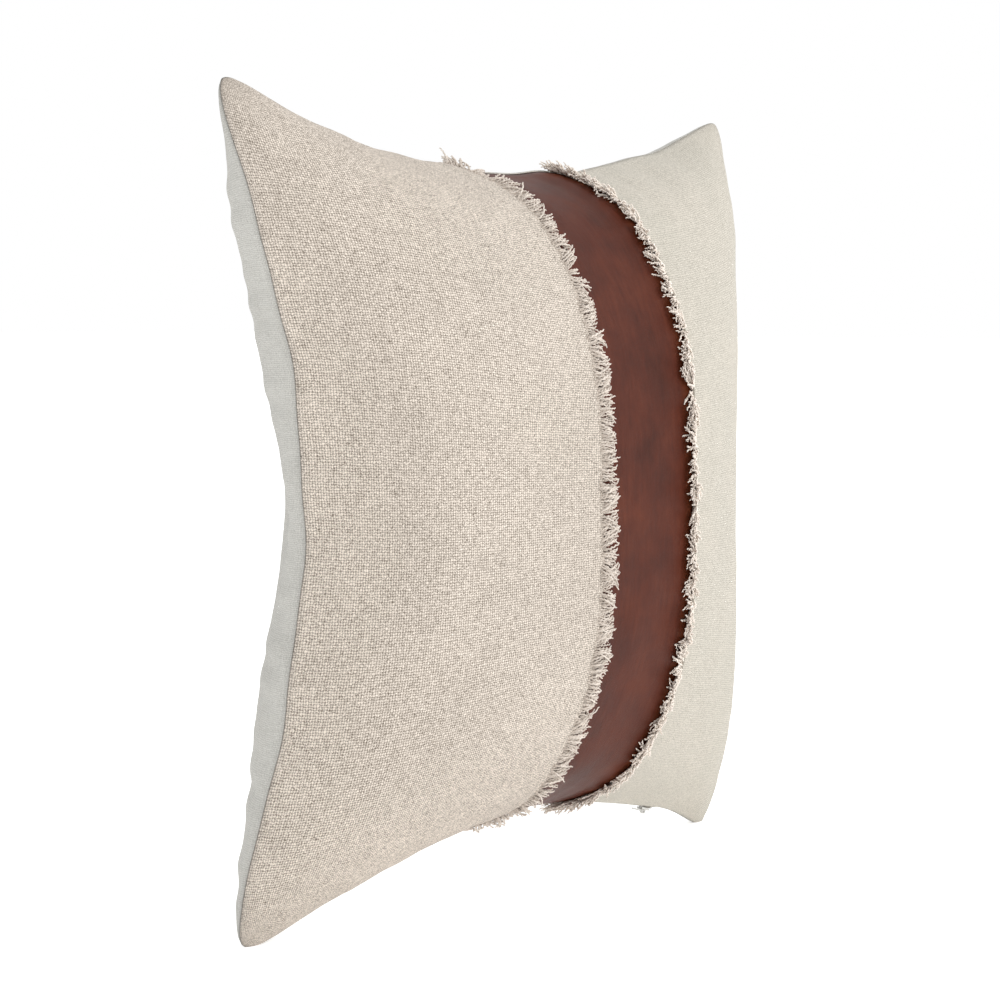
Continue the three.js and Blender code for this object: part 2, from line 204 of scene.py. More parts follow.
def relief(w, v, side):
    """How far the cloth stands off the plain crown, in millimetres, along its normal."""
    inside = (fade(w, 6) * fade(v, 6)) ** 0.5
    total = (1.5 * BROAD[side](w, v) + 0.22 * FINE[side](w, v)) * inside
    depth = 1.5 if side > 0 else 0.8
    for k, (across, along) in enumerate(((1 - w, v), (1 + w, v), (1 - v, w), (1 + v, w))):
        near = np.exp(-across / 0.1) * np.minimum(1, across / 0.03)
        quiet = 0.35 if k == 3 else 1.0
        total = total + depth * quiet * near * PUCKER[(side, k)](along) * fade(along, 4)
    total = total + fold_at(w, v, side)
    held = np.minimum(1, (1 - np.abs(w)) / 0.07) * np.minimum(1, (1 - np.abs(v)) / 0.07)
    held = held * held * (3 - 2 * held)
    for at_w, at_v, wide, high, amount in DENTS[side]:
        total = total + amount * held * np.exp(-((w - at_w) / wide) ** 2 - ((v - at_v) / high) ** 2)
    return total


def wobble(w, v):
    """Small waves of the seam line in its own plane."""
    x = 1.3 * np.exp(-(1 - np.abs(w)) / 0.06) * fade(v, 6) * np.where(w > 0, WOBBLE[0](v), WOBBLE[1](v))
    z = 1.1 * np.exp(-(1 - v) / 0.06) * fade(w, 6) * WOBBLE[2](w)
    return x, z


def surface(w, v, side, inset=0.0, sink=0.0, lift=0.0):
    """Points of a layer with the cloth's relief on it, in row-frame millimetres."""
    w, v = np.broadcast_arrays(np.asarray(w, float), np.asarray(v, float))
    base = crown(w, v, side, inset, sink)
    h = 0.004
    wa, wb = np.clip(w - h, -1, 1), np.clip(w + h, -1, 1)
    va, vb = np.clip(v - h, -1, 1), np.clip(v + h, -1, 1)
    dw = crown(wb, v, side) - crown(wa, v, side)
    dv = crown(w, vb, side) - crown(w, va, side)
    normal = np.cross(dw, dv) * (1 if side < 0 else -1)
    normal /= np.maximum(1e-9, np.linalg.norm(normal, axis=-1, keepdims=True))
    points = base + normal * (relief(w, v, side) + lift)[..., None]
    sx, sz = wobble(w, v)
    points[..., 0] += sx
    points[..., 2] += sz
    points[..., 1] += SEAM_Y
    points[..., 2] += CENTRE_Z
    return points


# ---- Meshes --------------------------------------------------------------------------------------
def spread(low, high, count):
    """Lines from low to high, closer together near -1 and 1, where the cloth turns fastest."""
    def t_of(w):
        a, b = -1.0, 1.0
        for _ in range(50):
            m = (a + b) / 2
            if 0.35 * m + 0.65 * math.sin(math.pi * m / 2) < w:
                a = m
            else:
                b = m
        return (a + b) / 2
    t = np.linspace(t_of(low), t_of(high), count + 1)
    w = 0.35 * t + 0.65 * np.sin(np.pi * t / 2)
    w[0], w[-1] = low, high
    return w


def make_object(name, points, faces, uv=None, material=None, smooth=True):
    """A mesh object from millimetre points. uv is one pair per point."""
    mesh = bpy.data.meshes.new(name)
    mesh.from_pydata((np.asarray(points) * MM).tolist(), [], faces)
    mesh.update()
    if uv is not None:
        layer = mesh.uv_layers.new(name="Cloth")
        loops = np.zeros(len(mesh.loops), np.int32)
        mesh.loops.foreach_get("vertex_index", loops)
        layer.data.foreach_set("uv", np.asarray(uv, float)[loops].astype(np.float32).ravel())
    mesh.polygons.foreach_set("use_smooth", [smooth] * len(mesh.polygons))
    obj = bpy.data.objects.new(name, mesh)
    bpy.context.scene.collection.objects.link(obj)
    if material:
        mesh.materials.append(material)
    return obj


def grid_faces(rows, cols, start=0, flip=False, closed=False):
    """Quads of a grid of points in row order; closed joins the last column to the first."""
    i, j = np.meshgrid(np.arange(rows - 1), np.arange(cols if closed else cols - 1), indexing="ij")
    k = (j + 1) % cols
    a, b = start + i * cols + j, start + i * cols + k
    c, d = b + cols, a + cols
    quads = np.stack([a, b, c, d] if flip else [a, d, c, b], -1).reshape(-1, 4)
    return quads.tolist()


def flat_uv(points):
    """Cloth coordinates in centimetres: lengths measured along the middle row and column."""
    step_i = np.linalg.norm(np.diff(points, axis=0), axis=-1).mean(1)
    step_j = np.linalg.norm(np.diff(points, axis=1), axis=-1).mean(0)
    a = np.concatenate([[0], np.cumsum(step_i)]) / 10
    b = np.concatenate([[0], np.cumsum(step_j)]) / 10
    return np.stack(np.broadcast_arrays(a[:, None], b[None, :]), -1)


def shell(name, outer, inner, side, material, uv=None):
    """A closed thin sheet between two grids of points."""
    rows, cols = outer.shape[:2]
    if uv is None:
        uv = flat_uv(outer)
    flip = side > 0
    faces = grid_faces(rows, cols, 0, flip) + grid_faces(rows, cols, rows * cols, not flip)
    rim = [(0, j) for j in range(cols - 1)] + [(i, cols - 1) for i in range(rows - 1)]
    rim += [(rows - 1, j) for j in range(cols - 1, 0, -1)] + [(i, 0) for i in range(rows - 1, 0, -1)]
    rim = [i * cols + j for i, j in rim]
    for p, q in zip(rim, rim[1:] + rim[:1]):
        faces.append([p, q, q + rows * cols, p + rows * cols][:: -1 if flip else 1])
    points = np.concatenate([outer.reshape(-1, 3), inner.reshape(-1, 3)])
    both = np.concatenate([uv.reshape(-1, 2)] * 2)
    return make_object(name, points, faces, both, material)


def tubes(name, paths, radii, sides, material):
    """Round tubes along paths: paths is (n, k, 3), radii (n, k). uv runs round and along each tube."""
    n, k, _ = paths.shape
    tangent = np.gradient(paths, axis=1)
    tangent /= np.maximum(1e-9, np.linalg.norm(tangent, axis=-1, keepdims=True))
    ref = np.where(np.abs(tangent[..., 1:2]) > 0.9, np.array([1.0, 0, 0]), np.array([0, 1.0, 0]))
    ref = np.broadcast_to(ref[:, :1], ref.shape)
    across = np.cross(tangent, ref)
    across /= np.maximum(1e-9, np.linalg.norm(across, axis=-1, keepdims=True))
    up = np.cross(across, tangent)
    turn = 2 * np.pi * np.arange(sides) / sides
    ring = across[:, :, None] * np.cos(turn)[:, None] + up[:, :, None] * np.sin(turn)[:, None]
    points = (paths[:, :, None] + ring * radii[:, :, None, None]).reshape(-1, 3)
    one = np.array(grid_faces(k, sides, 0, False, True))
    offset = (np.arange(n) * k * sides)[:, None, None]
    faces = (one[None] + offset).reshape(-1, 4).tolist()
    cap = list(range(sides))
    for i in range(n):
        base = i * k * sides
        faces.append([base + c for c in cap])
        faces.append([base + (k - 1) * sides + c for c in reversed(cap)])
    steps = np.linalg.norm(np.diff(paths, axis=1), axis=-1)
    length = np.concatenate([np.zeros((n, 1)), np.cumsum(steps, 1)], 1)
    seed = np.arange(n)[:, None, None] * 0.37
    uv = np.stack(np.broadcast_arrays(
        np.arange(sides)[None, None] / sides + seed, length[:, :, None] / 10), -1)
    return make_object(name, points, faces, uv.reshape(-1, 2), material)


# ---- Settling of the stuffed cover ---------------------------------------------------------------
# The cover settles as cloth under pressure from its flat cut. Only the folds that this adds are kept:
# the wide part of the movement is taken out again, because the crown's own shape is known.
SIM_CELLS, SIM_FRAMES = 76, 20
FOLD_CAP = 4.0              # most that a fold may stand off the crown
FOLD_GAIN = 1.6
CUT_HALF = 254.0


def weld_cover(lines):
    """One closed cover from the front and back grids, welded along the seam, and its flat pattern."""
    rows = len(lines)
    grid_w, grid_v = lines[:, None], lines[None, :]
    front, rear = crown(grid_w, grid_v, -1), crown(grid_w, grid_v, 1)
    rim = np.zeros((rows, rows), bool)
    rim[[0, -1], :] = rim[:, [0, -1]] = True
    front[rim] = (front[rim] + rear[rim]) / 2
    first = np.arange(rows * rows).reshape(rows, rows)
    second = first.copy()
    second[~rim] = rows * rows + np.arange((~rim).sum())
    points = np.concatenate([front.reshape(-1, 3), rear[~rim]])
    one = np.array(grid_faces(rows, rows))
    other = np.array(grid_faces(rows, rows, 0, True))
    faces = np.concatenate([first.ravel()[one], second.ravel()[other]])
    spot = np.stack(np.broadcast_arrays(grid_w, 0 * grid_w, grid_v), -1) * CUT_HALF
    flat = np.concatenate([spot.reshape(-1, 3), spot[~rim]])
    return points, faces.tolist(), flat, first, second


def settle(cells, frames):
    """Lets the stuffed cover settle as cloth, and returns the grids it starts from and ends at."""
    lines = spread(-1, 1, cells)
    points, faces, flat, first, second = weld_cover(lines)
    obj = make_object("cover_settling", points, faces)
    obj.shape_key_add(name="Basis")
    rest = obj.shape_key_add(name="Flat")
    rest.data.foreach_set("co", (flat * MM).astype(np.float32).ravel())
    rest.value = 0
    corners = obj.vertex_groups.new(name="corners")
    corners.add([int(first[i, j]) for i in (0, -1) for j in (0, -1)], 1.0, "REPLACE")
    cloth = obj.modifiers.new("cloth", "CLOTH")
    fabric = cloth.settings
    fabric.rest_shape_key = rest
    fabric.quality = 6
    fabric.mass = 0.3
    fabric.tension_stiffness = fabric.compression_stiffness = 20
    fabric.shear_stiffness = 8
    fabric.bending_stiffness = 0.6
    fabric.use_pressure = True
    fabric.uniform_pressure_force = 4
    fabric.vertex_group_mass = "corners"
    fabric.effector_weights.gravity = 0
    cloth.collision_settings.use_collision = False
    cloth.point_cache.frame_start, cloth.point_cache.frame_end = 1, frames
    for frame_number in range(1, frames + 1):
        bpy.context.scene.frame_set(frame_number)
    settled = obj.evaluated_get(bpy.context.evaluated_depsgraph_get()).to_mesh()
    end = np.zeros(len(points) * 3, np.float32)
    settled.vertices.foreach_get("co", end)
    end = end.reshape(-1, 3) / MM
    bpy.context.scene.frame_set(1)
    bpy.data.objects.remove(obj)
    return lines, {-1: (points[first], end[first]), 1: (points[second], end[second])}


def smoothed(grid, passes):
    """The grid after that many passes of a three-point average each way."""
    for _ in range(passes):
        for axis in (0, 1):
            padded = np.concatenate([
                np.take(grid, [0], axis), grid, np.take(grid, [-1], axis)], axis)
            low = np.take(padded, range(grid.shape[axis]), axis)
            high = np.take(padded, range(2, grid.shape[axis] + 2), axis)
            grid = (low + 2 * grid + high) / 4
    return grid


def folds():
    """Grids of the folds that settling adds on the front and back, in millimetres along the normal."""
    lines, ends = settle(SIM_CELLS, SIM_FRAMES)
    fade_out = (fade(lines[:, None], 10) * fade(lines[None, :], 10)) ** 0.5
    made = {}
    for side, (start, end) in ends.items():
        normal = np.cross(np.gradient(start, axis=0), np.gradient(start, axis=1)) * -side
        normal /= np.maximum(1e-9, np.linalg.norm(normal, axis=-1, keepdims=True))
        moved = ((end - start) * normal).sum(-1)
        moved = smoothed(moved, 1) - smoothed(moved, 60)
        made[side] = FOLD_CAP * np.tanh(FOLD_GAIN * moved / FOLD_CAP) * fade_out
    return lines, made


FOLD_LINES, FOLDS = folds()


def fold_at(w, v, side):
    """The folds' height at any point, by bicubic interpolation on their grid."""
    if FOLDS is None:
        return 0.0 * w
    grid, last = FOLDS[side], len(FOLD_LINES) - 1
    total = 0.0 * w
    i = np.interp(w, FOLD_LINES, np.arange(last + 1.0))
    j = np.interp(v, FOLD_LINES, np.arange(last + 1.0))
    i0, j0 = np.floor(i).astype(int), np.floor(j).astype(int)
    fi, fj = i - i0, j - j0

    def weights(f):
        return (-f + 2 * f ** 2 - f ** 3) / 2, (2 - 5 * f ** 2 + 3 * f ** 3) / 2, \
            (f + 4 * f ** 2 - 3 * f ** 3) / 2, (f ** 3 - f ** 2) / 2

    for a, wa in enumerate(weights(fi)):
        for b, wb in enumerate(weights(fj)):
            total = total + wa * wb * grid[np.clip(i0 + a - 1, 0, last), np.clip(j0 + b - 1, 0, last)]
    return total


# ---- Materials -----------------------------------------------------------------------------------
class Tree:
    """Builds one node material."""

    def __init__(self, name, **shader):
        self.material = bpy.data.materials.new(name)
        self.material.use_nodes = True
        self.tree = self.material.node_tree
        self.tree.nodes.clear()
        self.out = self.tree.nodes.new("ShaderNodeOutputMaterial")
        self.bsdf = self.tree.nodes.new("ShaderNodeBsdfPrincipled")
        self.link(self.bsdf.outputs[0], self.out.inputs["Surface"])
        for key, value in shader.items():
            self.bsdf.inputs[key.replace("_", " ")].default_value = value

    def link(self, a, b):
        self.tree.links.new(a, b)

    def put(self, socket, value):
        if isinstance(value, bpy.types.NodeSocket):
            self.link(value, socket)
        elif value is not None:
            socket.default_value = value

    def node(self, kind, **props):
        made = self.tree.nodes.new(kind)
        for key, value in props.items():
            setattr(made, key, value)
        return made

    def uv(self):
        return self.node("ShaderNodeUVMap", uv_map="Cloth").outputs[0]

    def place(self):
        return self.node("ShaderNodeTexCoord").outputs["Object"]

    def math(self, op, a, b=None, c=None):
        made = self.node("ShaderNodeMath", operation=op)
        for socket, value in zip(made.inputs, (a, b, c)):
            self.put(socket, value)
        return made.outputs[0]

    def vec(self, op, a, b=None):
        made = self.node("ShaderNodeVectorMath", operation=op)
        self.put(made.inputs[0], a)
        if op == "SCALE":
            self.put(made.inputs["Scale"], b)
        else:
            self.put(made.inputs[1], b)
        return made.outputs[0]

    def split(self, a):
        made = self.node("ShaderNodeSeparateXYZ")
        self.link(a, made.inputs[0])
        return made.outputs[0], made.outputs[1]

    def join(self, x, y):
        made = self.node("ShaderNodeCombineXYZ")
        self.put(made.inputs[0], x)
        self.put(made.inputs[1], y)
        return made.outputs[0]

    def noise(self, at, scale, detail=2.0, rough=0.5, colour=False):
        made = self.node("ShaderNodeTexNoise")
        self.put(made.inputs["Vector"], at)
        made.inputs["Scale"].default_value = scale
        made.inputs["Detail"].default_value = detail
        made.inputs["Roughness"].default_value = rough
        return made.outputs["Color" if colour else 0]

    def ramp(self, value, stops):
        made = self.node("ShaderNodeValToRGB")
        self.link(value, made.inputs[0])
        while len(made.color_ramp.elements) < len(stops):
            made.color_ramp.elements.new(0.5)
        for element, (place, colour) in zip(made.color_ramp.elements, stops):
            element.position = place
            element.color = (*colour, 1)
        return made.outputs[0]

    def mix(self, share, a, b, blend="MIX"):
        made = self.node("ShaderNodeMix", data_type="RGBA", blend_type=blend)
        self.put(made.inputs[0], share)
        self.put(made.inputs[6], a)
        self.put(made.inputs[7], b)
        return made.outputs[2]

    def bump(self, height, distance, strength=1.0, normal=None):
        made = self.node("ShaderNodeBump")
        made.inputs["Distance"].default_value = distance
        made.inputs["Strength"].default_value = strength
        self.link(height, made.inputs["Height"])
        if normal is not None:
            self.link(normal, made.inputs["Normal"])
        return made.outputs[0]

    def finish(self, colour=None, normal=None, roughness=None):
        if colour is not None:
            self.link(colour, self.bsdf.inputs["Base Color"])
        if normal is not None:
            self.link(normal, self.bsdf.inputs["Normal"])
        if roughness is not None:
            self.link(roughness, self.bsdf.inputs["Roughness"])
        return self.material


def woven(name, pitch, light, dark, tints, relief_mm, slub, swing=0.16, band=(0.12, 0.62), speckle=0.3):
    """Plain weave: threads pitch apart in centimetres, crossing over and under each other."""
    t = Tree(name, Roughness=0.92, Specular_IOR_Level=0.12, Sheen_Weight=0.12, Sheen_Roughness=0.6)
    uv = t.uv()
    drift = t.vec("SUBTRACT", t.noise(uv, 1.9, 3, 0.6, colour=True), (0.5, 0.5, 0.5))
    shaky = t.vec("SUBTRACT", t.noise(uv, 7.0, 2, 0.6, colour=True), (0.5, 0.5, 0.5))
    moved = t.vec("ADD", uv, t.vec("SCALE", drift, 0.5 * pitch / 0.13 * swing))
    moved = t.vec("ADD", moved, t.vec("SCALE", shaky, pitch * 1.5))
    cells = t.vec("SCALE", moved, 1 / pitch)
    x, y = t.split(cells)
    sx = t.math("SINE", t.math("MULTIPLY", x, math.pi))
    sy = t.math("SINE", t.math("MULTIPLY", y, math.pi))
    over = t.math("MULTIPLY_ADD", t.math("MULTIPLY", sx, sy), 0.5, 0.5)
    under = t.math("SUBTRACT", 1.0, over)
    warp = t.math("MULTIPLY", t.math("ABSOLUTE", sx), over)
    weft = t.math("MULTIPLY", t.math("ABSOLUTE", sy), under)
    top = t.math("SMOOTH_MAX", warp, weft, 0.12)
    # thick and thin places along single threads
    warp_runs = t.noise(t.join(t.math("MULTIPLY", x, 0.9), t.math("MULTIPLY", y, 0.07)), 1.0, 1.5)
    weft_runs = t.noise(t.join(t.math("MULTIPLY", x, 0.07), t.math("MULTIPLY", y, 0.9)), 1.0, 1.5)
    runs = t.math("ADD", t.math("MULTIPLY", warp_runs, over), t.math("MULTIPLY", weft_runs, under))
    spots = t.node("ShaderNodeTexWhiteNoise", noise_dimensions="2D")
    t.link(t.vec("FLOOR", cells), spots.inputs["Vector"])
    full = t.math("MULTIPLY_ADD", runs, slub, top)
    full = t.math("MULTIPLY_ADD", spots.outputs["Value"], speckle, full)
    full = t.math("SUBTRACT", full, speckle * 0.5)
    fibre = t.noise(uv, 60.0, 2, 0.7)
    height = t.math("MULTIPLY_ADD", fibre, 0.25, full)
    value = t.math("MULTIPLY_ADD", fibre, 0.2, t.math("MULTIPLY", full, 0.85))
    shade = t.ramp(value, [(band[0], dark), (band[1], light)])
    blotch = t.noise(uv, 0.12, 4, 0.6)
    tint = t.ramp(blotch, [(0.36, tints[0]), (0.62, tints[1])])
    colour = t.mix(1.0, shade, tint, "MULTIPLY")
    normal = t.bump(height, relief_mm * MM, 0.8)
    return t.finish(colour, normal)


def yarn(name, light, dark, turns=2.2, shaded_root=False):
    """Twisted yarn: darker lines that wind round the tube."""
    t = Tree(name, Roughness=0.9, Specular_IOR_Level=0.12, Sheen_Weight=0.15)
    x, y = t.split(t.uv())
    twist = t.math("SINE", t.math("MULTIPLY", t.math("MULTIPLY_ADD", y, turns * 4, x), 4 * math.pi))
    own = t.noise(t.join(x, t.math("MULTIPLY", y, 1.5)), 1.2, 2)
    value = t.math("MULTIPLY_ADD", twist, 0.12, own)
    colour = t.ramp(value, [(0.3, dark), (0.62, light)])
    if shaded_root:
        out = t.math("MULTIPLY", y, 1.1)
        shadow = t.ramp(out, [(0.1, (0.72, 0.70, 0.68)), (0.8, (1.0, 1.0, 1.0))])
        colour = t.mix(1.0, colour, shadow, "MULTIPLY")
    return t.finish(colour, t.bump(twist, 0.0001, 0.5))


def leather_look():
    t = Tree("band_leather", Specular_IOR_Level=0.12)
    uv = t.uv()
    broad = t.noise(uv, 0.22, 4, 0.6)
    stretched = t.vec("MULTIPLY", uv, (3.0, 0.5, 1))
    streak = t.noise(stretched, 1.0, 5, 0.65)
    fine = t.noise(uv, 22.0, 4, 0.65)
    value = t.math("ADD", t.math("MULTIPLY", broad, 0.62), t.math("MULTIPLY", streak, 0.28))
    value = t.math("MULTIPLY_ADD", fine, 0.14, value)
    colour = t.ramp(value, [
        (0.36, (0.044, 0.0095, 0.0045)), (0.52, (0.074, 0.0165, 0.008)), (0.68, (0.108, 0.027, 0.013))])
    # painted bounce light: the leather is warmer and redder towards both edges, where it turns under
    # the panels
    from_middle = t.math("ABSOLUTE", t.math("SUBTRACT", t.split(uv)[0], BAND_UNDER * HALF / 10))
    edge = t.node("ShaderNodeMapRange")
    t.link(from_middle, edge.inputs["Value"])
    edge.inputs["From Min"].default_value = 3.9
    edge.inputs["From Max"].default_value = 4.7
    edge.inputs["To Max"].default_value = 0.6
    colour = t.mix(edge.outputs["Result"], colour, (0.19, 0.050, 0.018, 1))
    grain = t.node("ShaderNodeTexVoronoi", feature="DISTANCE_TO_EDGE")
    shaken = t.vec("ADD", uv, t.vec("SCALE", t.noise(uv, 9.0, 2, 0.5, colour=True), 0.08))
    t.link(shaken, grain.inputs["Vector"])
    grain.inputs["Scale"].default_value = 14.0
    pores = t.math("MINIMUM", t.math("MULTIPLY", grain.outputs["Distance"], 5.0), 1.0)
    height = t.math("ADD", t.math("MULTIPLY", pores, 0.35), t.math("MULTIPLY", fine, 0.6))
    height = t.math("MULTIPLY_ADD", streak, 1.2, height)
    rough = t.math("MULTIPLY_ADD", broad, 0.25, 0.34)
    return t.finish(colour, t.bump(height, 0.00022, 0.6), rough)


def cloth_plain(name, light, dark, scale, rough=0.9, weave=40.0):
    """Fine tight cloth for tapes, tags and the insert."""
    t = Tree(name, Roughness=rough, Specular_IOR_Level=0.2)
    uv = t.uv()
    x, y = t.split(t.vec("SCALE", uv, weave))
    cross = t.math("MULTIPLY", t.math("SINE", x), t.math("SINE", y))
    blotch = t.noise(uv, scale, 3, 0.6)
    colour = t.ramp(t.math("MULTIPLY_ADD", cross, 0.12, blotch), [(0.3, dark), (0.66, light)])
    return t.finish(colour, t.bump(cross, 0.0001, 0.5))


def fibre_look():
    t = Tree("insert_fibre", Roughness=1.0, Specular_IOR_Level=0.1)
    at = t.place()
    fluff = t.noise(at, 60.0, 6, 0.7)
    colour = t.ramp(fluff, [(0.3, (0.72, 0.72, 0.70)), (0.7, (0.93, 0.93, 0.92))])
    return t.finish(colour, t.bump(fluff, 0.004, 0.8))


def metal_look():
    t = Tree("brushed_metal", Metallic=1.0)
    at = t.place()
    brushed = t.noise(t.vec("MULTIPLY", at, (300.0, 3000.0, 3000.0)), 1.0, 3, 0.6)
    colour = t.ramp(brushed, [(0.3, (0.42, 0.41, 0.39)), (0.7, (0.62, 0.61, 0.58))])
    rough = t.math("MULTIPLY_ADD", brushed, 0.2, 0.25)
    return t.finish(colour, t.bump(brushed, 0.00003, 0.3), rough)


canvas = woven("woven_canvas", 0.155, (0.92, 0.83, 0.74), (0.15, 0.118, 0.088),
               ((0.93, 0.92, 0.90), (1.0, 0.99, 0.97)), 0.9, 0.12, band=(0.19, 0.83), speckle=0.2)
# painted shade: the right panel gets a darker, cooler, flatter copy of the same canvas, standing in for
# the light that falls on it
canvas_right_painted_shade = woven("woven_canvas_right", 0.155, (0.66, 0.62, 0.55), (0.30, 0.28, 0.24),
                     ((0.95, 0.95, 0.93), (1.0, 0.99, 0.97)), 0.5, 0.10, band=(0.10, 0.80), speckle=0.2)
back_cloth = woven("back_linen", 0.11, (0.62, 0.61, 0.57), (0.27, 0.26, 0.235),
                   ((0.91, 0.91, 0.91), (1.0, 1.0, 1.0)), 0.45, 0.55, band=(0.15, 0.95), speckle=0.12)
leather = leather_look()
fringe_yarn = yarn("fringe_yarn", (0.86, 0.78, 0.70), (0.52, 0.45, 0.39), shaded_root=True)
# painted light: a paler copy of the fringe yarn, without the shaded root, for the right fringe,
# brighter than the left fringe's to stand in for light on it
painted_light_yarn = yarn("painted_light_fringe_yarn", (0.97, 0.89, 0.81), (0.78, 0.70, 0.62))
sewing = yarn("sewing_thread", (0.66, 0.60, 0.53), (0.46, 0.41, 0.36), 6.0)
ticking = cloth_plain("insert_ticking", (0.86, 0.86, 0.84), (0.74, 0.74, 0.72), 0.3)
satin = cloth_plain("satin_tag", (0.86, 0.85, 0.80), (0.78, 0.76, 0.70), 0.8, 0.45, 90.0)
tape_cloth = cloth_plain("zip_tape_cloth", (0.62, 0.57, 0.49), (0.48, 0.44, 0.37), 0.8, 0.85, 55.0)
nylon = yarn("zip_coil_nylon", (0.62, 0.57, 0.49), (0.50, 0.45, 0.38), 3.0)
fibre = fibre_look()
metal = metal_look()

# ---- Cover ---------------------------------------------------------------------------------------
ROWS = spread(-1, 1, 260)


def curl(w):
    """Lift of a raw edge past its topstitching."""
    past = np.clip((STITCH_LINE - np.abs(w)) / (STITCH_LINE - BAND_EDGE), 0, 1)
    return np.where(w < 0, EDGE_CURL[-1], EDGE_CURL[1]) * past ** 1.6


def panel(name, ws, side, depth, thickness, material, lifted=False):
    w, v = ws[:, None], ROWS[None, :]
    lift = curl(w) + 0 * v if lifted else 0.0 * w + 0 * v
    outer = surface(w, v, side, depth, depth, lift)
    inner = surface(w, v, side, depth + thickness, depth + thickness, lift)
    return shell(name, outer, inner, side, material)


right_ws = np.concatenate([np.linspace(BAND_EDGE, STITCH_LINE, 5)[:-1], spread(STITCH_LINE, 1, 116)])
left_panel = panel("left_front_panel", -right_ws[::-1], -1, 0, CLOTH, canvas, True)
right_panel = panel("right_front_panel", right_ws, -1, 0, CLOTH, canvas_right_painted_shade, True)
band_ws = np.linspace(-BAND_UNDER, BAND_UNDER, 60)
band = panel("leather_band_sheet", band_ws, -1, LEATHER_DEPTH, LEATHER, leather)
rear_panel = panel("back_cloth_panel", spread(-1, 1, 220), 1, 0, CLOTH, back_cloth)

# ---- Frayed edges: yarn ends past each panel's raw edge --------------------------------------------
YARN_STEPS = 20


def frayed(name, hand, seed, length, lifted, material, count=360, layers=3):
    """Crimped yarn ends in tufts, standing off the leather."""
    rng = np.random.default_rng(seed)
    v = np.linspace(-1, 1, 4000)
    edge = surface(hand * BAND_EDGE, v, -1, 0.5, 0.5, curl(np.array(hand * BAND_EDGE)) + 0 * v)
    run = np.concatenate([[0], np.cumsum(np.linalg.norm(np.diff(edge, axis=0), axis=-1))])
    total = count * layers
    at = (np.arange(total) % count + 0.5 + rng.uniform(-0.42, 0.42, total)) / count
    root_v = np.interp(at * run[-1], run, v)
    layer = np.arange(total) // count
    below = 0.45 * layer + 0.15
    ragged = rng.uniform(-0.002, 0.008 + 0.002 * (layers - layer) + (0.006 if hand > 0 else 0), total)
    if hand < 0:    # the raw edge is worn further back at the top
        ragged = ragged + 0.045 * np.clip((root_v - 0.86) / 0.14, 0, 1) * rng.uniform(0, 1, total)
    onto = hand * (BAND_EDGE + ragged)
    root = surface(onto, root_v, -1, below, below, curl(onto))
    inward = surface(hand * (BAND_EDGE - 0.02), root_v, -1)
    inward -= surface(hand * (BAND_EDGE + 0.004), root_v, -1)
    inward /= np.linalg.norm(inward, axis=-1, keepdims=True)
    ahead_v, behind_v = np.clip(root_v + 0.01, -1, 1), np.clip(root_v - 0.01, -1, 1)
    along = surface(hand * BAND_EDGE, ahead_v, -1) - surface(hand * BAND_EDGE, behind_v, -1)
    along /= np.linalg.norm(along, axis=-1, keepdims=True)
    out = np.cross(along, inward)
    out *= np.sign(-out[:, 1:2])
    # tufts share a lean, a lift and a length
    tuft_at = np.cumsum(rng.uniform(0.0035, 0.0105, 400))
    tuft = np.searchsorted(tuft_at, at)
    share = rng.normal(0, 1, (tuft.max() + 2, 4))[tuft]
    own = rng.normal(0, 1, (total, 4))
    slow = ripple(seed + 5, 8, 0.05, 0.4)(at * 2)
    lean = 0.20 * share[:, 0] + 0.09 * own[:, 0] + 0.22 * slow
    over = np.clip((np.abs(root_v) - 0.9) / 0.1, 0, 1)
    lean = lean + (0.7 if hand < 0 else 0.35) * over * np.sign(root_v)
    lift = np.radians(lifted + 6 * share[:, 1] + 7 * own[:, 1] + 6 * (1 - layer))
    long = length + 1.0 * share[:, 2] + 0.6 * own[:, 2] + 0.8 * slow + HALF * np.maximum(ragged, 0)
    long = long * (1 + (0.15 if hand < 0 else -0.2) * over)
    long = np.clip(long, 0.6 * length, 1.5 * length)
    stray = rng.uniform(0, 1, total) < 0.02
    long = long + 2.5 * stray
    bend = 0.5 * share[:, 3] + 0.6 * own[:, 3]
    s = np.linspace(0, 1, YARN_STEPS)[None, :]
    amp = rng.uniform(0.2, 0.45, total)[:, None] * np.minimum(1, s * 4)
    turns = long[:, None] / rng.uniform(2.2, 3.4, total)[:, None]
    phase = rng.uniform(0, 2 * np.pi, total)[:, None]
    curlx = amp * np.sin(2 * np.pi * turns * s + phase)
    curly = amp * np.cos(2 * np.pi * turns * s + phase)
    reach = long[:, None] * s
    droop = 0.018 * (reach ** 2) * (0.6 + 0.4 * rng.uniform(0, 1, total))[:, None]
    rise = np.sin(lift)[:, None] * reach - droop
    rise = np.maximum(rise, 0.35 - LEATHER_DEPTH * 0.3)
    ahead = np.cos(lift)[:, None] * reach
    sideways = lean[:, None] * reach + bend[:, None] * 0.03 * reach ** 2
    paths = root[:, None] + inward[:, None] * ahead[..., None]
    paths = paths + along[:, None] * (sideways + curlx)[..., None]
    paths = paths + out[:, None] * (rise + curly)[..., None]
    radii = 0.52 * (1 - 0.3 * s ** 4) * rng.uniform(0.8, 1.2, total)[:, None]
    return tubes(name, paths, radii, 5, material)


left_fray = frayed("left_frayed_edge", -1, 71, 10.4, 18, fringe_yarn)
right_fray = frayed("right_frayed_edge", 1, 72, 8.8, 30, painted_light_yarn, 440)


# ---- Sewing --------------------------------------------------------------------------------------
THREAD, LOCK_PITCH = 0.24, 3.2      # radius of the seam thread, and one turn of it from side to side


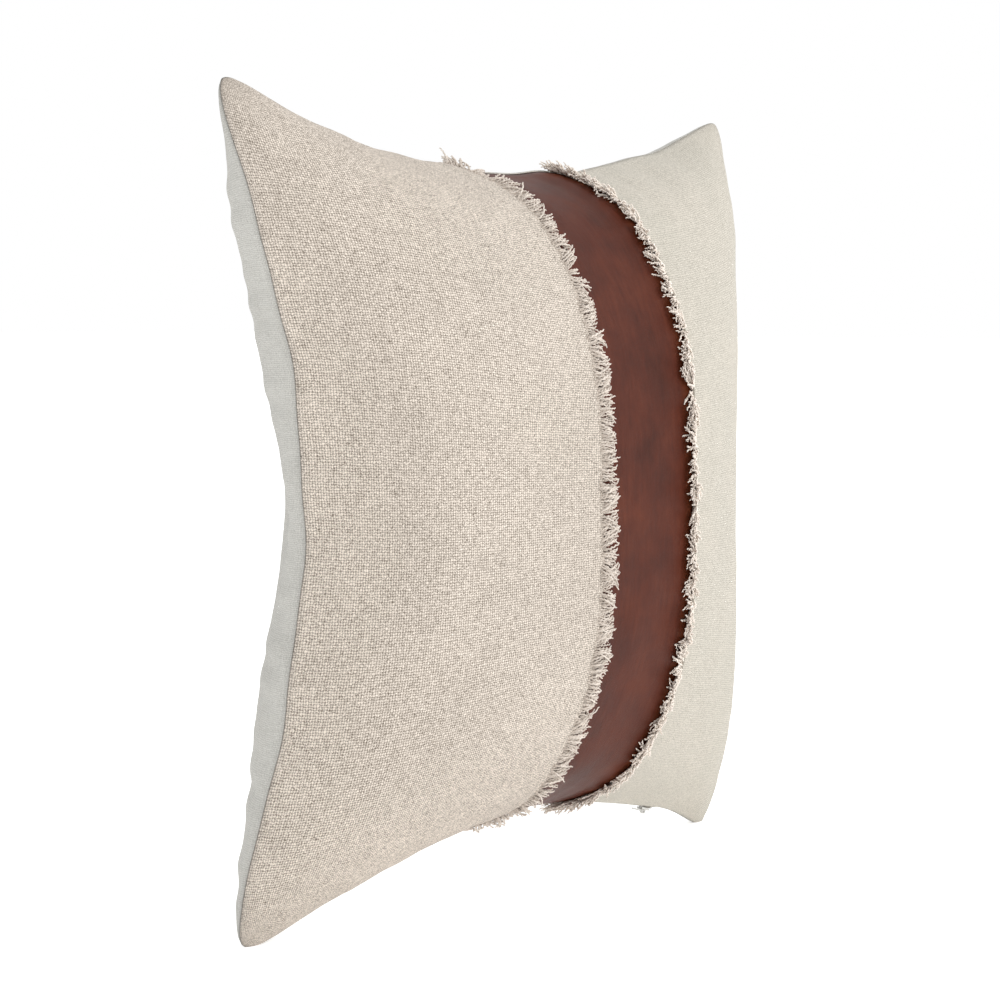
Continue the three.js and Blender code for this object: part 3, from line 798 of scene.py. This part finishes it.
def stitches(name, line, pitch, length, radius):
    """Separate stitches along a line of points, each diving into the cloth at both ends."""
    run = np.concatenate([[0], np.cumsum(np.linalg.norm(np.diff(line[0], axis=0), axis=-1))])
    count = int(run[-1] / pitch)
    start = (np.arange(count) + 0.5) * pitch - length / 2
    s = np.linspace(0, 1, 9)
    where = start[:, None] + length * s[None]
    on = np.stack([np.interp(where, run, line[0][:, k]) for k in range(3)], -1)
    off = np.stack([np.interp(where, run, line[1][:, k]) for k in range(3)], -1)
    up = np.sin(np.pi * s)[None, :, None] ** 0.5
    paths = off + (on - off) * up
    return tubes(name, paths, np.full(paths.shape[:2], radius), 6, sewing)


def topstitch(name, hand):
    v = np.linspace(-0.995, 0.995, 1200)
    w = hand * STITCH_LINE + 0 * v
    line = (surface(w, v, -1, 0, 0, 0 * v - 0.05), surface(w, v, -1, 0, 0, 0 * v - 0.5))
    return stitches(name, line, 3.6, 2.8, 0.2)


left_topstitch = topstitch("left_topstitching", -1)
right_topstitch = topstitch("right_topstitching", 1)


def seam_route(inset, from_x, to_x):
    """The seam line round the outline, from from_x on the bottom edge to to_x on the bottom edge."""
    a, b = from_x / HALF, to_x / HALF
    pieces = [
        np.stack([np.linspace(a, 1, 200), -np.ones(200)], -1),
        np.stack([np.ones(600), np.linspace(-1, 1, 600)], -1),
        np.stack([np.linspace(1, -1, 600), np.ones(600)], -1),
        np.stack([-np.ones(600), np.linspace(1, -1, 600)], -1),
        np.stack([np.linspace(-1, b, 200), -np.ones(200)], -1),
    ]
    wv = np.concatenate([p[:-1] for p in pieces[:-1]] + [pieces[-1]])
    front = surface(wv[:, 0], wv[:, 1], -1, inset, 0)
    rear = surface(wv[:, 0], wv[:, 1], 1, inset, 0)
    return (front + rear) / 2


def lock_seam(name, route, radius, pitch, swing):
    """One thread that weaves from side to side in the gap of a seam."""
    run = np.concatenate([[0], np.cumsum(np.linalg.norm(np.diff(route, axis=0), axis=-1))])
    where = np.linspace(0, run[-1], int(run[-1] / pitch * 6))
    path = np.stack([np.interp(where, run, route[:, k]) for k in range(3)], -1)
    path[:, 1] += swing * np.sin(2 * np.pi * where / pitch)
    return tubes(name, path[None], np.full((1, len(path)), radius), 6, sewing)


cover_route = seam_route(CLOTH * 0.8, ZIP_REACH + 6, -ZIP_REACH - 6)
cover_seam = lock_seam("cover_seam_stitching", cover_route, THREAD, LOCK_PITCH, 0.1)

# ---- Insert --------------------------------------------------------------------------------------
INSERT_LINES = spread(-1, 1, 90)


def insert_layer(side, inset, sink):
    return surface(INSERT_LINES[:, None], INSERT_LINES[None, :], side, inset, sink)


def insert_half(name, side):
    outer = insert_layer(side, INSERT_INSET, INSERT_SINK)
    inner = insert_layer(side, INSERT_INSET + INSERT_SHELL, INSERT_SINK + INSERT_SHELL)
    return shell(name, outer, inner, side, ticking)


insert_front = insert_half("insert_front_cloth", -1)
insert_back = insert_half("insert_back_cloth", 1)
fill_front, fill_back = (insert_layer(side, FILL_INSET, FILL_SINK) for side in (-1, 1))
fill = shell("insert_fibre_fill", fill_front, fill_back, -1, fibre)
insert_route = seam_route(INSERT_INSET + INSERT_SHELL * 0.7, 0.5, -0.5)
insert_seam = lock_seam("insert_seam_stitching", insert_route, THREAD, LOCK_PITCH, 0.08)


LABEL = 0.35                # thickness of a label


def label(name, w_range, v_range, side, inset, sink, material):
    """A blank label that follows the layer under it."""
    w = np.linspace(*w_range, 24)[:, None]
    v = np.linspace(*v_range, 24)[None, :]
    wave = 0.25 * np.sin(9 * w / (w_range[1] - w_range[0])) * np.sin(7 * v)
    outer = surface(w, v, side, inset, sink, wave * 0.3)
    inner = surface(w, v, side, inset + LABEL, sink + LABEL, wave * 0.3)
    return shell(name, outer, inner, side, material)


def between(count, index):
    """One cell of the CAD's grid lines."""
    lines = np.sin(math.pi / 2 * (2 * np.arange(count + 1) / count - 1))
    return lines[index], lines[index + 1]


care = label("blank_care_label", between(16, 2), between(16, 6), 1, 2, 2, satin)
tag_cell = between(12, 8)
tag = label("blank_insert_tag", tag_cell, tag_cell, 1, INSERT_INSET - 1, INSERT_SINK - 1, satin)

# ---- Zipper --------------------------------------------------------------------------------------
ZIP_HALF = 165.0
middle_z = -HALF * (1 - PULL_Z)
end_w = ZIP_HALF / HALF
end_z = -HALF * (1 - PULL_Z * float(bow(np.array(end_w))))
drop = middle_z - end_z
ARC = (ZIP_HALF ** 2 + drop ** 2) / (2 * drop)
ARC_Z = middle_z - ARC
TURN = math.asin(ZIP_HALF / ARC)


def on_arc(turn, y, depth):
    """A point by its turn along the zipper, its distance from the seam plane and its depth."""
    turn, y, depth = np.broadcast_arrays(turn, y, depth)
    radius = ARC + depth
    return np.stack([radius * np.sin(turn), SEAM_Y + y, CENTRE_Z + ARC_Z + radius * np.cos(turn)], -1)


def zip_tape(name, side):
    over = 3.6 / ARC
    turn = np.linspace(-TURN - over, TURN + over, 240)[:, None]
    y = np.linspace(0.65, 10, 12)[None, :]
    depth = 3.7 + 0.36 * (y - 0.65)
    outer = on_arc(turn, side * y, depth)
    inner = on_arc(turn, side * y, depth + 0.5)
    return shell(name, outer, inner, side, tape_cloth)


def zip_coil(name, side):
    pitch = 1.3
    loops = int(2 * TURN * ARC / pitch)
    t = np.linspace(0, loops, loops * 14)
    turn = -TURN + 2 * TURN * t / loops
    y = side * (1.35 + 0.5 * np.cos(2 * np.pi * t + (0 if side > 0 else np.pi)))
    depth = 2.5 + 0.58 * np.sin(2 * np.pi * t)
    path = on_arc(turn, y, depth)
    return tubes(name, path[None], np.full((1, len(path)), 0.2), 5, nylon)


tape_front = zip_tape("front_zip_tape", -1)
tape_back = zip_tape("back_zip_tape", 1)
coil_front = zip_coil("front_zip_coil", -1)
coil_back = zip_coil("back_zip_coil", 1)
METAL_NODES = (
    "zip_slider", "zip_pull_tab", "zip_top_stop_front", "zip_top_stop_back", "zip_bottom_stop")
for name in METAL_NODES:
    node = NODES[name]
    node.data.materials.clear()
    node.data.materials.append(metal)
    node.data.polygons.foreach_set("use_smooth", [False] * len(node.data.polygons))
    soft = node.modifiers.new("round", "BEVEL")
    soft.width = 0.00012
    soft.segments = 2
    soft.limit_method = "ANGLE"

# ---- Each piece's place in the frame ---------------------------------------------------------------
FINISH = [
    (left_panel, "front_left_panel", "woven_canvas"),
    (right_panel, "front_right_panel", "woven_canvas"),
    (band, "leather_band", "leather"),
    (rear_panel, "back_panel", "back_cloth"),
    (left_fray, "left_fringe", "woven_canvas"),
    (right_fray, "right_fringe", "woven_canvas"),
    (left_topstitch, "topstitch_left", "thread"),
    (right_topstitch, "topstitch_right", "thread"),
    (cover_seam, "cover_seam_thread", "thread"),
    (care, "care_label", "satin_tag"),
    (tape_front, "zip_tape_front", "zip_tape"),
    (tape_back, "zip_tape_back", "zip_tape"),
    (coil_front, "zip_coil_front", "zip_coil"),
    (coil_back, "zip_coil_back", "zip_coil"),
    (insert_front, "insert_shell_front", "ticking"),
    (insert_back, "insert_shell_back", "ticking"),
    (insert_seam, "insert_seam_thread", "thread"),
    (tag, "insert_tag", "satin_tag"),
    (fill, "insert_fill", "fibre_fill"),
]
for piece, node, slot in FINISH:
    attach(piece, "pillow")
    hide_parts(node)

# ---- Floor and light -------------------------------------------------------------------------------
FLOOR_SIZE = 40
bpy.ops.mesh.primitive_plane_add(size=FLOOR_SIZE, location=(0, 0, 0))
floor = bpy.context.object
floor.name = "floor"
pale = bpy.data.materials.new("pale_floor")
pale.use_nodes = True
shader = pale.node_tree.nodes["Principled BSDF"]
shader.inputs["Base Color"].default_value = (0.9, 0.9, 0.9, 1)
shader.inputs["Roughness"].default_value = 1.0
shader.inputs["Specular IOR Level"].default_value = 0.0
shader.inputs["Emission Color"].default_value = (1, 1, 1, 1)
shader.inputs["Emission Strength"].default_value = 0.45
floor.data.materials.append(pale)

world = bpy.data.worlds.new("studio")
bpy.context.scene.world = world
world.use_nodes = True
sky = world.node_tree.nodes["Background"]
sky.inputs[0].default_value = (1, 1, 1, 1)
sky.inputs[1].default_value = 1.0


def softbox(name, azimuth, elevation, distance, size, power):
    a, e = math.radians(azimuth), math.radians(elevation)
    away = Vector((math.sin(a) * math.cos(e), -math.cos(a) * math.cos(e), math.sin(e)))
    data = bpy.data.lights.new(name, "AREA")
    data.shape = "SQUARE"
    data.size = size
    data.energy = power
    lamp = bpy.data.objects.new(name, data)
    bpy.context.scene.collection.objects.link(lamp)
    lamp.location = Vector((0, 0, 0.25)) + away * distance
    lamp.rotation_euler = away.to_track_quat("Z", "Y").to_euler()


softbox("key", 20, 30, 2.4, 1.2, 22)

scene = bpy.context.scene
scene.view_settings.view_transform = "Standard"
scene.view_settings.look = "None"
scene.view_settings.exposure = 0
scene.view_settings.gamma = 1
